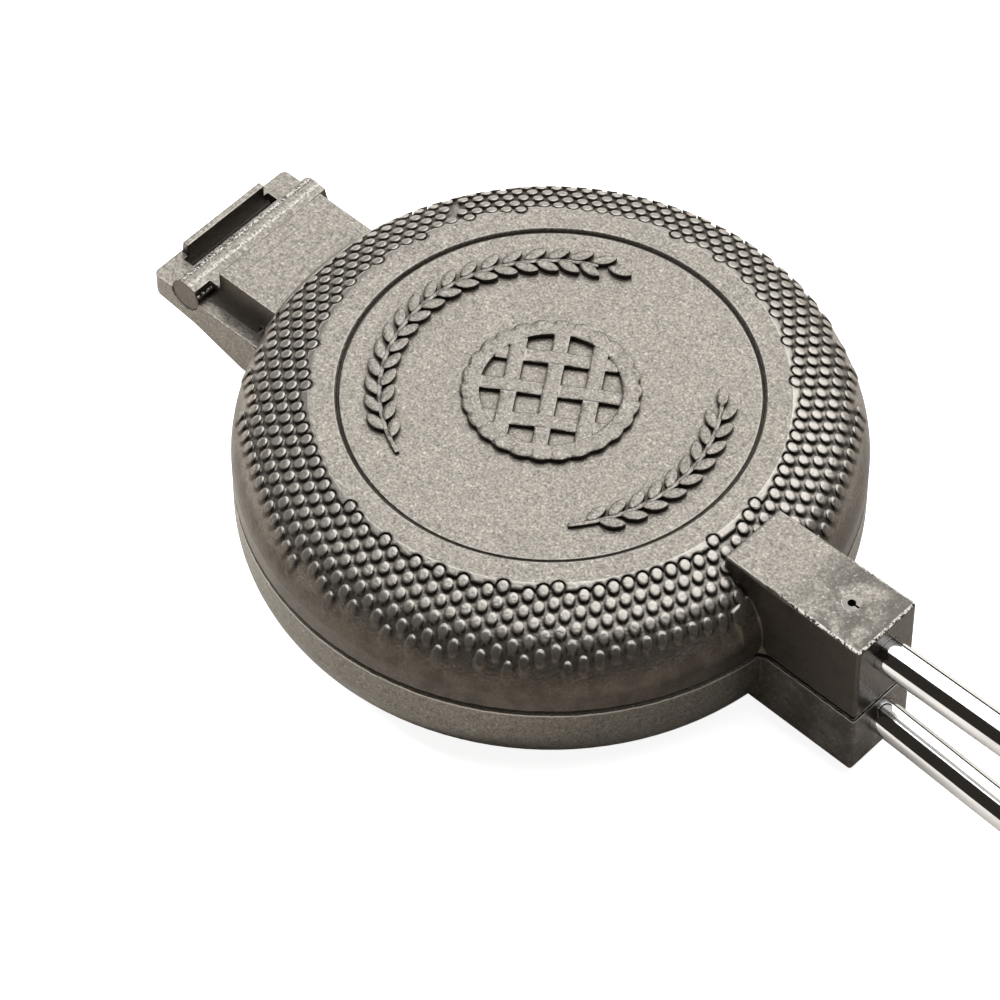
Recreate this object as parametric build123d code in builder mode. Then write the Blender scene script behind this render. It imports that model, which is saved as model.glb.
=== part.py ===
"""Round pie iron: two hinged cast bowls on long chromed rods with turned wooden grips.

Frame: +X runs from the hinge to the grips, +Z is up, and the origin is the centre of the
lower bowl's flat bottom. The two halves meet on a level parting plane. Millimetres.
"""
import os
from math import acos, asin, atan, atan2, ceil, cos, degrees, dist, hypot, pi, radians, sin, sqrt, tan

from build123d import *

os.makedirs("parts", exist_ok=True)

# ---------------------------------------------------------------- driving dimensions
# Bowls
bowl_radius = 55.9          # outside of the smooth band at the parting plane
upper_depth = 18.2          # parting plane to the upper bowl's flat top
lower_depth = 18.2          # parting plane to the lower bowl's flat bottom
rim_gap = 0.2               # the rims stand this far apart when the iron is shut
rim_round = 0.5             # rounding of each rim's outer edge
cavity_radius = 50.1        # inside of the bowls at the rim
cavity_depth = 13.4         # rim to the cavity's floor, in each bowl
cavity_corner = 7.4         # radius between the cavity's wall and its floor
cavity_draft = 1.5          # the wall closes in by this much on its way to the floor
disc_radius = 37.2          # disc in the middle of each outside face
disc_sink = 0.4             # the upper disc lies this far below its ring, the lower is flush
groove_width = 0.6          # narrow groove that outlines the disc
groove_sink = 0.5           # groove depth below the disc
ring_width = 4.7            # plain ring around the disc

# Upper shoulder
upper_shoulder_radius = 11.9
upper_shoulder_rise = 4.2   # height of the shoulder arc's centre above the parting plane
upper_shoulder_slope = 25.0 # degrees, where the arc meets the straight slope
upper_band_height = 4.5     # smooth band next to the parting plane

# Lower shoulder
lower_shoulder_radius = 11.6
lower_smooth_angle = 38.0   # degrees of plain arc below the band before the pebbles start

# Pebbles: straight pins left standing on both shoulders, in a six-sided net bent round the bowl
pebble_height = 0.95        # the ground between the pebbles lies this far below their tops
pebble_diameter = 1.9
pebble_spacing = 2.72       # between neighbours, halfway down the shoulder
pebble_bend = 0.36          # the net's rows turn by this share of the way round the bowl
upper_net = ((-205, -5, 13.0), (-5, 155, -13.0))  # degrees: from, to, direction of the rows
lower_net = ((-180, 180, 11.0),)
pebble_ring_gap = 0.5       # the ring swallows the pebbles nearer to its edge than this
ring_overrun = 1.25         # between the other pebbles the ring runs out this far
pebble_moat = 0.4           # ground round a pebble that stands in the ring's edge
upper_pebble_edge = 1.2     # the last pebbles stand this far inside the bowl's outside
lower_pebble_edge = 4.3     # the same on the lower bowl, whose shoulder is smooth further down
block_margin = 4.2          # smooth ground beside the webs of the blocks

# Handle blocks
block_end = 76.4            # end face of both handle blocks
block_root_half = 7.1       # half width where the block leaves the bowl
block_end_half = 7.5        # half width at the end face
block_root = 46.4           # where the root width is measured, inside the bowl
upper_block_height = 18.5   # above the parting plane
lower_block_height = 14.5   # below the parting plane
block_edge_round = 0.65
web_round = 3.7             # concave web where a block or plate meets its bowl
web_taper = 25.0            # degrees, the webs lean in towards the bowl
block_web_height = 11.1
plate_web_height = 6.5

# Hinge plate of the lower bowl
plate_end = 81.6            # distance from the bowl's axis to the plate's free end
plate_half = 17.0
plate_end_thickness = 4.8
plate_mid = 71.4            # the underside slopes more steeply from here to the bowl
plate_mid_thickness = 5.9
plate_root = 59.8
plate_root_thickness = 9.2
plate_corner = 1.3          # rounding of the free end's corners
window_half = 14.6          # half width of the window between the side rails
window_front = 57.7         # front end of the window, next to the bowl
keyway_half = 10.9          # narrower back end of the window, between the corner pads
keyway_back = 79.9
pad_thickness = 2.25        # what is left of the corner pads above the toe pocket
keeper_half = 9.8           # upright keeper flap at the plate's free end
keeper_height = 2.8
keeper_top_back = 80.9
keeper_top_front = 79.7

# Tongue and cross head of the upper bowl
hinge_x = -73.5             # hinge axis, on the parting plane
head_radius = 3.25          # round journal of the cross head
bearing_clearance = 0.05    # radial, journal in the half-round bearings of the rails
end_clearance = 0.15        # head end to the outside of the rails
head_ridge_back = 0.4       # ridge of the head, behind the axis
head_ridge_front = 2.5      # ridge of the head, in front of the axis
head_height = 2.85          # ridge above the parting plane
tongue_half = 13.0
tongue_height = 6.7         # top of the tongue above the parting plane
tongue_back = 68.4          # distance from the bowl's axis to the tongue's back face
tongue_drop = 3.05          # how far the tongue hangs into the window
tongue_front = 58.4         # front end of the hanging part
toe_half = 14.3             # the toe hooks under the corner pads
toe_reach = 5.9             # behind the hinge axis
toe_thickness = 1.5
toe_clearance = 0.2         # below the pads

# Rods, chromed steel
rod_diameter = 6.35
rod_fit = 0.03              # radial room of a rod in its socket
socket_end = 60.0           # inner end of both rod sockets
upper_rod_height = 11.7     # above the parting plane
lower_rod_drop = 5.5        # below the parting plane at the block's end face
rod_corner = 109.0          # the tilted run and the level run of the lower rod would meet here
bend_tangent = 10.0         # the bend starts and ends this far from that corner

# Spring pins
pin_diameter = 3.18
pin_bore = 1.5
pin_slit = 0.4
pin_x = 68.4
pin_past_rod = 1.0          # the pin reaches this far past the rod
pin_fit = 0.02

# Grips, turned hardwood
overall_front = 629.6       # free end of the grips
grip_length = 128.0
grip_max_radius = 9.5
grip_neck_radius = 6.2      # inside the ferrule
grip_shoulder_radius = 7.6
grip_waist_radius = 8.2
grip_end_radius = 9.0
grip_nose = 5.0             # rounding of the grip's free end
grip_shoulder_run = 1.5     # the shoulder rises behind the ferrule over this length
grip_shoulder_rise = 0.1    # slope at which the shoulder runs into the barrel
grip_swell_run = 39.8       # from the ferrule's back to the thickest part
grip_waist_run = 84.2       # from the ferrule's back to the waist
grip_floor_gap = 0.1        # lower grip above the plane that the bowl rests on
rod_end_cover = 36.0        # wood between the rod's end and the grip's free end
ferrule_length = 11.0
ferrule_wall = 0.8
ferrule_fit = 0.02
nail_diameter = 2.4
nail_fit = 0.02
nail_setback = 20.0         # behind the ferrule's front face

# Latch, bent wire
wire_diameter = 2.4
latch_eye_fit = 0.06        # radial room of the eye on the rod
latch_hook_fit = 0.5        # room of the hook around the upper rod
latch_side_gap = 0.4        # each side of the eye
eye_end_gap = 0.1           # between the eye's cut end and the stem
latch_tab = 4.5             # straight thumb tab past the hook
latch_floor_gap = 0.6       # laid over to -Y, the hook stays this far above the resting plane
stop_radius = 4.4           # swaged collar on the rod in front of the eye
stop_width = 1.6

cut_past = 1.0              # cuts run this far past the face that they open

# ---------------------------------------------------------------- derived places
parting = lower_depth
upper_rim = parting + rim_gap / 2
lower_rim = parting - rim_gap / 2
rod_radius = rod_diameter / 2
ring_radius = disc_radius + ring_width
upper_rod_z = parting + upper_rod_height
lower_rod_face_z = parting - lower_rod_drop
lower_rod_z = grip_max_radius + grip_floor_gap
lower_rod_slope = (lower_rod_face_z - lower_rod_z) / (rod_corner - block_end)
lower_rod_tilt = atan(lower_rod_slope)
bend_radius = bend_tangent / tan(abs(lower_rod_tilt) / 2)
upper_front = parting + upper_depth
grip_front = overall_front - grip_length
ferrule_radius = grip_neck_radius + ferrule_fit + ferrule_wall
eye_radius = rod_radius + latch_eye_fit + wire_diameter / 2
latch_x = grip_front - latch_side_gap - wire_diameter / 2
rod_spacing = upper_rod_z - lower_rod_z
wire_radius = wire_diameter / 2
hook_radius = rod_radius + latch_hook_fit + wire_radius
eye_end_angle = 180 - degrees(acos(1 - (wire_diameter + eye_end_gap) / eye_radius))
stem_lean = asin((hook_radius - eye_radius) / rod_spacing)  # the stem is tangent to eye and hook
stem_angle = 180 + degrees(stem_lean)
stem_foot = (-eye_radius * cos(stem_lean), -eye_radius * sin(stem_lean))
stem_top = (-hook_radius * cos(stem_lean), rod_spacing - hook_radius * sin(stem_lean))
latch_drop = lower_rod_z - hook_radius - wire_radius - latch_floor_gap
latch_rest_angle = acos(-latch_drop / rod_spacing)  # radians, from the shut position
wood_front = grip_front + ferrule_wall
rod_end = overall_front - rod_end_cover


def lower_rod_height(x):
    """Height of the lower rod's axis on its straight, tilted run."""
    return lower_rod_face_z - lower_rod_slope * (x - block_end)


def disc_points(face, outward):
    """Section of a disc and the groove that outlines it; outward is +1 upwards, -1 downwards."""
    return [
        (0, face),
        (disc_radius - groove_width, face),
        (disc_radius - groove_width / 2, face - outward * groove_sink),
        (disc_radius, face),
    ]


def pebble_net(zones, inner, outer):
    """Places of the pebbles between two distances from the bowl's axis."""
    middle = (ring_radius + bowl_radius) / 2
    even = 1 - pebble_bend
    scale = middle**pebble_bend / even
    rows = ceil(scale * outer**even / pebble_spacing * 2 / sqrt(3))
    places = []
    for first, last, turn in zones:
        for row in range(-rows, rows + 1):
            for column in range(-2 * rows, 2 * rows + 1):
                across = (column + row / 2) * pebble_spacing
                along = row * pebble_spacing * sqrt(3) / 2
                radius = (hypot(across, along) / scale) ** (1 / even)
                if not inner < radius < outer:
                    continue
                bearing = (degrees(atan2(along, across)) + turn + 180) % 360 - 180
                for lap in (-360, 0, 360):
                    angle = (bearing + lap) / even
                    if first <= angle < last:
                        place = (radius * cos(radians(angle)), radius * sin(radians(angle)))
                        if all(dist(place, other) > pebble_spacing * 0.81 for other in places):
                            places.append(place)
    return places


def pebble_plan(zones, outer, block_half, hinge_half):
    """Plan of the ground between the pebbles; it stays clear of the block and the hinge's webs."""
    first = ring_radius + pebble_ring_gap
    radius = pebble_diameter / 2
    places = pebble_net(zones, first, outer)
    overrun = ring_radius + ring_overrun
    edge_row = [place for place in places if hypot(*place) < overrun + radius + pebble_moat]
    with BuildSketch(mode=Mode.PRIVATE) as plan:
        Circle(bowl_radius + cut_past)
        Circle(overrun, mode=Mode.SUBTRACT)
        with Locations(*edge_row):
            Circle(radius + pebble_moat)
        with Locations(*places):
            Circle(radius, mode=Mode.SUBTRACT)
        with BuildLine():
            Polyline(
                (block_root, -block_root_half),
                (bowl_radius - block_margin, -block_root_half),
                (bowl_radius - block_margin, -block_half),
                (bowl_radius * 2, -block_half),
                (bowl_radius * 2, block_half),
                (bowl_radius - block_margin, block_half),
                (bowl_radius - block_margin, block_root_half),
                (block_root, block_root_half),
                close=True,
            )
        make_face(mode=Mode.SUBTRACT)
        with Locations((-bowl_radius, 0)):
            Rectangle(2 * block_margin, 2 * hinge_half, mode=Mode.SUBTRACT)
    return plan.sketch


def cavity_section(rim, direction):
    """Half section of one bowl's cavity; direction is +1 upwards and -1 downwards."""
    floor = rim + direction * cavity_depth
    wall = cavity_radius - cavity_draft
    corner = cavity_corner
    with BuildLine() as outline:
        Line((0, rim - direction * cut_past), (0, floor))
        Line((0, floor), (wall - corner, floor))
        RadiusArc((wall - corner, floor), (wall, floor - direction * corner), direction * corner)
        Line((wall, floor - direction * corner), (cavity_radius, rim - direction * cut_past))
        Line((cavity_radius, rim - direction * cut_past), (0, rim - direction * cut_past))
    return outline.line


def web_plan(root_half, end_half, end_x):
    """Plan of a bowl with one arm to end_x, with concave webs in the corners beside the arm."""
    side = 1 if end_x > 0 else -1
    with BuildSketch(mode=Mode.PRIVATE) as plan:
        Circle(bowl_radius - rim_round)
        with BuildLine():
            Polyline(
                (side * block_root, -side * root_half),
                (end_x, -side * end_half),
                (end_x, side * end_half),
                (side * block_root, side * root_half),
                close=True,
            )
        make_face()
        corners = plan.vertices().sort_by(Axis.X)
        corners = corners.filter_by(lambda corner: abs(abs(corner.Y) - root_half) < web_round)
        corners = corners.filter_by(lambda corner: 0 < side * corner.X < bowl_radius)
        fillet(corners, radius=web_round)
    return plan.sketch


# ---------------------------------------------------------------- upper casting
slope = radians(upper_shoulder_slope)
centre_r = bowl_radius - upper_shoulder_radius
centre_z = parting + upper_shoulder_rise
arc_top = (centre_r + upper_shoulder_radius * sin(slope), centre_z + upper_shoulder_radius * cos(slope))
band_top = parting + upper_band_height
ground_top = (arc_top[0], arc_top[1] - pebble_height)

# What is taken away between the pebbles: everything above a ground that lies straight below the
# shoulder and runs into the smooth band.
with BuildPart() as upper_hollows:
    with BuildSketch(Plane.XZ):
        with BuildLine():
            Polyline(
                (disc_radius, upper_front - pebble_height),
                (ring_radius, upper_front - pebble_height),
                ground_top,
            )
            RadiusArc(ground_top, (bowl_radius, band_top), upper_shoulder_radius)
            Polyline(
                (bowl_radius, band_top),
                (bowl_radius + cut_past, band_top),
                (bowl_radius + cut_past, upper_front + cut_past),
                (disc_radius, upper_front + cut_past),
                (disc_radius, upper_front - pebble_height),
            )
        make_face()
    revolve(axis=Axis.Z)
    with BuildSketch(Plane.XY.offset(parting)):
        add(
            pebble_plan(
                upper_net,
                bowl_radius - upper_pebble_edge,
                block_root_half + block_margin,
                tongue_half + block_margin,
            )
        )
    extrude(amount=upper_depth + 2 * cut_past, mode=Mode.INTERSECT)

with BuildPart() as upper_casting:
    with BuildSketch(Plane.XZ):
        with BuildLine():
            Polyline(
                *disc_points(upper_front - disc_sink, 1),
                (disc_radius + disc_sink, upper_front),
                (ring_radius, upper_front),
                arc_top,
            )
            RadiusArc(arc_top, (bowl_radius, centre_z), upper_shoulder_radius)
            Polyline(
                (bowl_radius, centre_z),
                (bowl_radius, upper_rim + rim_round),
                (bowl_radius - rim_round, upper_rim),
                (0, upper_rim),
                (0, upper_front - disc_sink),
            )
        make_face()
    revolve(axis=Axis.Z)
    with BuildSketch(Plane.XY.offset(upper_rim)):
        with BuildLine():
            Polyline(
                (block_root, -block_root_half),
                (block_end, -block_end_half),
                (block_end, block_end_half),
                (block_root, block_root_half),
                close=True,
            )
        make_face()
    extrude(amount=parting + upper_block_height - upper_rim)
    block_edges = upper_casting.edges().filter_by(lambda edge: edge.center().X > block_root)
    end_edges = block_edges.group_by(Axis.X)[-1]
    top_edges = block_edges.group_by(Axis.Z)[-1].filter_by(lambda edge: edge.length > block_end_half * 2)
    fillet(end_edges + top_edges, radius=block_edge_round)
    with BuildSketch(Plane.XY.offset(upper_rim)):
        add(web_plan(block_root_half, block_end_half, block_end - 2 * block_edge_round))
    extrude(amount=block_web_height, taper=web_taper)
    with BuildSketch(Plane.XY.offset(upper_rim)):
        add(web_plan(tongue_half, tongue_half, -tongue_back))
    extrude(amount=tongue_height, taper=web_taper)
    # Tongue: above the parting plane it runs into the bowl, below it hangs into the window.
    with BuildSketch(Plane.XZ):
        with BuildLine():
            Polyline(
                (-tongue_back, parting + tongue_height),
                (-block_root, parting + tongue_height),
                (-block_root, upper_rim),
                (-tongue_front, upper_rim),
                (-tongue_front, parting - tongue_drop),
                (hinge_x, parting - tongue_drop),
                (hinge_x, parting + head_height),
                (-tongue_back, parting + head_height),
                close=True,
            )
        make_face()
    extrude(amount=tongue_half, both=True)
    # Cross head: a round journal with a squared ridge on its upper side.
    with BuildSketch(Plane.XZ):
        with Locations((hinge_x, parting)):
            Circle(head_radius)
        with BuildLine():
            Polyline(
                (hinge_x - head_radius, parting),
                (hinge_x - head_ridge_back, parting + sqrt(head_radius**2 - head_ridge_back**2)),
                (hinge_x + head_ridge_front, parting + head_height),
                (hinge_x + head_radius, parting),
                close=True,
            )
        make_face()
    extrude(amount=plate_half - end_clearance, both=True)
    # Toe: hooks under the corner pads, so the head can only lift out of an open iron.
    toe_top = parting - pad_thickness - toe_clearance
    with BuildSketch(Plane.XY.offset(toe_top - toe_thickness)):
        with Locations((hinge_x - toe_reach / 2, 0)):
            Rectangle(toe_reach, 2 * toe_half)
    extrude(amount=toe_thickness)
    with BuildSketch(Plane.XZ):
        add(make_face(cavity_section(upper_rim, 1)))
    revolve(axis=Axis.Z, mode=Mode.SUBTRACT)
    with BuildSketch(Plane.YZ.offset(socket_end)):
        with Locations((0, upper_rod_z)):
            Circle(rod_radius + rod_fit)
    extrude(amount=block_end + cut_past - socket_end, mode=Mode.SUBTRACT)
    with BuildSketch(Plane.XY.offset(upper_rod_z - rod_radius - pin_past_rod)):
        with Locations((pin_x, 0)):
            Circle(pin_diameter / 2 + pin_fit)
    extrude(amount=upper_block_height, mode=Mode.SUBTRACT)
    add(upper_hollows.part, mode=Mode.SUBTRACT)
upper_casting.part.label = "upper_casting"
export_step(upper_casting.part, "parts/upper_casting.step", write_pcurves=False)

# ---------------------------------------------------------------- lower casting
lower_arc_r = bowl_radius - lower_shoulder_radius
smooth = radians(lower_smooth_angle)
smooth_edge = (
    lower_arc_r + lower_shoulder_radius * cos(smooth),
    lower_shoulder_radius * (1 - sin(smooth)),
)
ground_reach = smooth_edge[0] - lower_arc_r
ground_rise = smooth_edge[1] - pebble_height
ground_radius = (ground_reach**2 + ground_rise**2) / (2 * ground_rise)
plate_foot = plate_end - plate_corner
bearing_radius = head_radius + bearing_clearance
lower_rod_plane = Plane(
    origin=(block_end, 0, lower_rod_face_z),
    z_dir=(cos(lower_rod_tilt), 0, -sin(lower_rod_tilt)),
)

# The same below: the ground curves up from under the ring and runs out at the smooth shoulder.
with BuildPart() as lower_hollows:
    with BuildSketch(Plane.XZ):
        with BuildLine():
            Line((disc_radius, pebble_height), (lower_arc_r, pebble_height))
            RadiusArc((lower_arc_r, pebble_height), smooth_edge, -ground_radius)
            Polyline(
                smooth_edge,
                (bowl_radius + cut_past, smooth_edge[1]),
                (bowl_radius + cut_past, -cut_past),
                (disc_radius, -cut_past),
                (disc_radius, pebble_height),
            )
        make_face()
    revolve(axis=Axis.Z)
    with BuildSketch(Plane.XY.offset(-2 * cut_past)):
        add(
            pebble_plan(
                lower_net,
                bowl_radius - lower_pebble_edge,
                block_root_half + block_margin,
                plate_half + block_margin,
            )
        )
    extrude(amount=lower_shoulder_radius, mode=Mode.INTERSECT)

with BuildPart() as lower_casting:
    with BuildSketch(Plane.XZ):
        with BuildLine():
            Polyline(*disc_points(0, -1), (lower_arc_r, 0))
            RadiusArc((lower_arc_r, 0), (bowl_radius, lower_shoulder_radius), -lower_shoulder_radius)
            Polyline(
                (bowl_radius, lower_shoulder_radius),
                (bowl_radius, lower_rim - rim_round),
                (bowl_radius - rim_round, lower_rim),
                (0, lower_rim),
                (0, 0),
            )
        make_face()
    revolve(axis=Axis.Z)
    with BuildSketch(Plane.XY.offset(parting - lower_block_height)):
        with BuildLine():
            Polyline(
                (block_root, -block_root_half),
                (block_end, -block_end_half),
                (block_end, block_end_half),
                (block_root, block_root_half),
                close=True,
            )
        make_face()
    extrude(amount=lower_rim - parting + lower_block_height)
    block_edges = lower_casting.edges().filter_by(lambda edge: edge.center().X > bowl_radius)
    end_edges = block_edges.group_by(Axis.X)[-1]
    bottom_edges = block_edges.group_by(Axis.Z)[0].filter_by(lambda edge: edge.length > block_end_half * 2)
    fillet(end_edges + bottom_edges, radius=block_edge_round)
    with BuildSketch(Plane.XY.offset(lower_rim)):
        add(web_plan(block_root_half, block_end_half, block_end - 2 * block_edge_round))
    extrude(amount=-block_web_height, taper=web_taper)
    # Hinge plate, thicker towards the bowl.
    with BuildSketch(Plane.XZ):
        with BuildLine():
            Polyline(
                (-plate_end, lower_rim),
                (-block_root, lower_rim),
                (-block_root, parting - plate_root_thickness),
                (-plate_root, parting - plate_root_thickness),
                (-plate_mid, parting - plate_mid_thickness),
                (-plate_foot, parting - plate_end_thickness),
                (-plate_end, parting - plate_end_thickness + plate_corner),
                close=True,
            )
        make_face()
    extrude(amount=plate_half, both=True)
    plate_corners = lower_casting.edges().filter_by(Axis.Z).group_by(Axis.X)[0]
    fillet(plate_corners, radius=plate_corner)
    with BuildSketch(Plane.XY.offset(lower_rim)):
        add(web_plan(plate_half, plate_half, -plate_mid))
    extrude(amount=-plate_web_height, taper=web_taper)
    # Window for the tongue, keyway for the toe, and the pocket under the corner pads.
    with BuildSketch(Plane.XY):
        with BuildLine():
            Polyline(
                (-window_front, -window_half),
                (hinge_x - head_radius, -window_half),
                (hinge_x - head_radius, -keyway_half),
                (-keyway_back, -keyway_half),
                (-keyway_back, keyway_half),
                (hinge_x - head_radius, keyway_half),
                (hinge_x - head_radius, window_half),
                (-window_front, window_half),
                close=True,
            )
        make_face()
    extrude(amount=parting, mode=Mode.SUBTRACT)
    with BuildSketch(Plane.XY):
        with BuildLine():
            Polyline(
                (-window_front, -window_half),
                (-keyway_back, -window_half),
                (-keyway_back, window_half),
                (-window_front, window_half),
                close=True,
            )
        make_face()
    extrude(amount=parting - pad_thickness, mode=Mode.SUBTRACT)
    # Half-round bearings for the cross head.
    with BuildSketch(Plane.XZ):
        with Locations((hinge_x, parting)):
            Circle(bearing_radius)
    extrude(amount=plate_half, both=True, mode=Mode.SUBTRACT)
    # Keeper flap on the free end.
    with BuildSketch(Plane.XZ):
        with BuildLine():
            Polyline(
                (-plate_end, parting - pad_thickness),
                (-keeper_top_back, parting + keeper_height),
                (-keeper_top_front, parting + keeper_height),
                (-keyway_back, parting - pad_thickness),
                close=True,
            )
        make_face()
    extrude(amount=keeper_half, both=True)
    with BuildSketch(Plane.XZ):
        add(make_face(cavity_section(lower_rim, -1)))
    revolve(axis=Axis.Z, mode=Mode.SUBTRACT)
    with BuildSketch(lower_rod_plane.offset((socket_end - block_end) / cos(lower_rod_tilt))):
        Circle(rod_radius + rod_fit)
    extrude(amount=block_end + cut_past - socket_end, mode=Mode.SUBTRACT)
    with BuildSketch(Plane.XY):
        with Locations((pin_x, 0)):
            Circle(pin_diameter / 2 + pin_fit)
    extrude(amount=lower_rod_height(pin_x) + rod_radius + pin_past_rod, mode=Mode.SUBTRACT)
    add(lower_hollows.part, mode=Mode.SUBTRACT)
lower_casting.part.label = "lower_casting"
export_step(lower_casting.part, "parts/lower_casting.step", write_pcurves=False)

# ---------------------------------------------------------------- rods
rod_start = socket_end + rod_fit

with BuildPart() as upper_rod:
    with BuildSketch(Plane.YZ.offset(rod_start)):
        with Locations((0, upper_rod_z)):
            Circle(rod_radius)
    extrude(amount=rod_end - rod_start)
    with BuildSketch(Plane.XY.offset(upper_rod_z - rod_diameter)):
        with Locations((pin_x, 0)):
            Circle(pin_diameter / 2 + pin_fit)
    extrude(amount=2 * rod_diameter, mode=Mode.SUBTRACT)
    with BuildSketch(Plane.XZ):
        with Locations((grip_front + nail_setback, upper_rod_z)):
            Circle(nail_diameter / 2 + nail_fit)
    extrude(amount=rod_diameter, both=True, mode=Mode.SUBTRACT)
upper_rod.part.label = "upper_rod"
export_step(upper_rod.part, "parts/upper_rod.step")

with BuildPart() as lower_rod:
    with BuildLine(Plane.XZ) as lower_path:
        FilletPolyline(
            (rod_start, lower_rod_height(rod_start)),
            (rod_corner, lower_rod_z),
            (rod_end, lower_rod_z),
            radius=bend_radius,
        )
    with BuildSketch(Plane(origin=lower_path.line @ 0, z_dir=lower_path.line % 0)):
        Circle(rod_radius)
    sweep(path=lower_path.line)
    # Swaged collar that keeps the latch eye against the ferrule.
    with BuildSketch(Plane.YZ.offset(latch_x - wire_diameter / 2 - latch_side_gap)):
        with Locations((0, lower_rod_z)):
            Circle(stop_radius)
    extrude(amount=-stop_width)
    with BuildSketch(Plane.XY.offset(lower_rod_height(pin_x) - rod_diameter)):
        with Locations((pin_x, 0)):
            Circle(pin_diameter / 2 + pin_fit)
    extrude(amount=2 * rod_diameter, mode=Mode.SUBTRACT)
    with BuildSketch(Plane.XZ):
        with Locations((grip_front + nail_setback, lower_rod_z)):
            Circle(nail_diameter / 2 + nail_fit)
    extrude(amount=rod_diameter, both=True, mode=Mode.SUBTRACT)
lower_rod.part.label = "lower_rod"
export_step(lower_rod.part, "parts/lower_rod.step")

# ---------------------------------------------------------------- spring pins
pin_spans = {
    "upper_spring_pin": (upper_rod_z - rod_radius - pin_past_rod, parting + upper_block_height),
    "lower_spring_pin": (
        parting - lower_block_height,
        lower_rod_height(pin_x) + rod_radius + pin_past_rod,
    ),
}
for name, (low, high) in pin_spans.items():
    with BuildPart() as spring_pin:
        with BuildSketch(Plane.XY.offset(low)):
            with Locations((pin_x, 0)):
                Circle(pin_diameter / 2)
                Circle(pin_bore / 2, mode=Mode.SUBTRACT)
            with Locations((pin_x + pin_diameter / 2, 0)):
                Rectangle(pin_diameter, pin_slit, mode=Mode.SUBTRACT)
        extrude(amount=high - low)
    spring_pin.part.label = name
    export_step(spring_pin.part, f"parts/{name}.step")

# ---------------------------------------------------------------- grips, ferrules and nails
wood_end = overall_front
barrel_start = grip_front + ferrule_length

for half, rod_z in (("upper", upper_rod_z), ("lower", lower_rod_z)):
    shoulder = (barrel_start + grip_shoulder_run, rod_z + grip_shoulder_radius)
    swell = (barrel_start + grip_swell_run, rod_z + grip_max_radius)
    waist = (barrel_start + grip_waist_run, rod_z + grip_waist_radius)
    knob = (wood_end - grip_nose, rod_z + grip_end_radius)
    with BuildPart() as grip:
        with BuildSketch(Plane.XZ):
            with BuildLine():
                Polyline(
                    shoulder,
                    (barrel_start, rod_z + grip_neck_radius),
                    (wood_front, rod_z + grip_neck_radius),
                    (wood_front, rod_z),
                    (wood_end, rod_z),
                )
                Spline(shoulder, swell, tangents=((1, grip_shoulder_rise), (1, 0)))
                Spline(swell, waist, tangents=((1, 0), (1, 0)))
                Spline(waist, knob, tangents=((1, 0), (1, 0)))
                RadiusArc(knob, (wood_end, knob[1] - grip_nose), grip_nose)
                Line((wood_end, knob[1] - grip_nose), (wood_end, rod_z))
            make_face()
        revolve(axis=Axis((0, 0, rod_z), (1, 0, 0)))
        with BuildSketch(Plane.YZ.offset(grip_front)):
            with Locations((0, rod_z)):
                Circle(rod_radius + rod_fit)
        extrude(amount=rod_end - grip_front + rod_fit, mode=Mode.SUBTRACT)
        with BuildSketch(Plane.XZ):
            with Locations((grip_front + nail_setback, rod_z)):
                Circle(nail_diameter / 2 + nail_fit)
        extrude(amount=grip_max_radius, both=True, mode=Mode.SUBTRACT)
    grip.part.label = f"{half}_grip"
    export_step(grip.part, f"parts/{half}_grip.step")

    with BuildPart() as ferrule:
        with BuildSketch(Plane.YZ.offset(grip_front)):
            with Locations((0, rod_z)):
                Circle(ferrule_radius)
        extrude(amount=ferrule_length)
        with BuildSketch(Plane.YZ.offset(wood_front)):
            with Locations((0, rod_z)):
                Circle(grip_neck_radius + ferrule_fit)
        extrude(amount=ferrule_length, mode=Mode.SUBTRACT)
        with BuildSketch(Plane.YZ.offset(grip_front)):
            with Locations((0, rod_z)):
                Circle(rod_radius + rod_fit)
        extrude(amount=ferrule_wall, mode=Mode.SUBTRACT)
    ferrule.part.label = f"{half}_ferrule"
    export_step(ferrule.part, f"parts/{half}_ferrule.step")

    with BuildPart() as nail:
        with BuildSketch(Plane.XZ):
            with Locations((grip_front + nail_setback, rod_z)):
                Circle(nail_diameter / 2)
        extrude(amount=grip_shoulder_radius, both=True)
    nail.part.label = f"{half}_grip_nail"
    export_step(nail.part, f"parts/{half}_grip_nail.step")

# ---------------------------------------------------------------- latch
# Drawn shut, in the plane across the rods, then laid over about the lower rod's axis.
latch_plane = Plane(
    origin=(latch_x, 0, lower_rod_z),
    x_dir=(0, cos(latch_rest_angle), sin(latch_rest_angle)),
    z_dir=(1, 0, 0),
)

with BuildPart() as latch_hook:
    with BuildLine(latch_plane) as wire_path:
        CenterArc((0, 0), eye_radius, eye_end_angle, stem_angle - 360 - eye_end_angle)
        Line(stem_foot, stem_top)
        CenterArc((0, rod_spacing), hook_radius, stem_angle, 90 - stem_angle)
        Line((0, rod_spacing + hook_radius), (latch_tab, rod_spacing + hook_radius))
    with BuildSketch(Plane(origin=wire_path.line @ 0, z_dir=wire_path.line % 0)):
        Circle(wire_radius)
    sweep(path=wire_path.line)
latch_hook.part.label = "latch_hook"
export_step(latch_hook.part, "parts/latch_hook.step")
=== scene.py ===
# %% [markdown]
# # A pie iron, dressed for the camera
# A pie iron is two cast-iron bowls hinged together at one edge and carried on long steel rods
# with wooden grips. The solid model already holds every part at its true place and size, so this
# file only adds what a solid model leaves out: the raised ornament on the disc, and the finish of
# each material. Everything is in metres, and one millimetre is written MM.

# %% Load the solid model
import math

import bmesh
import bpy
from mathutils import Matrix, Vector


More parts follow.
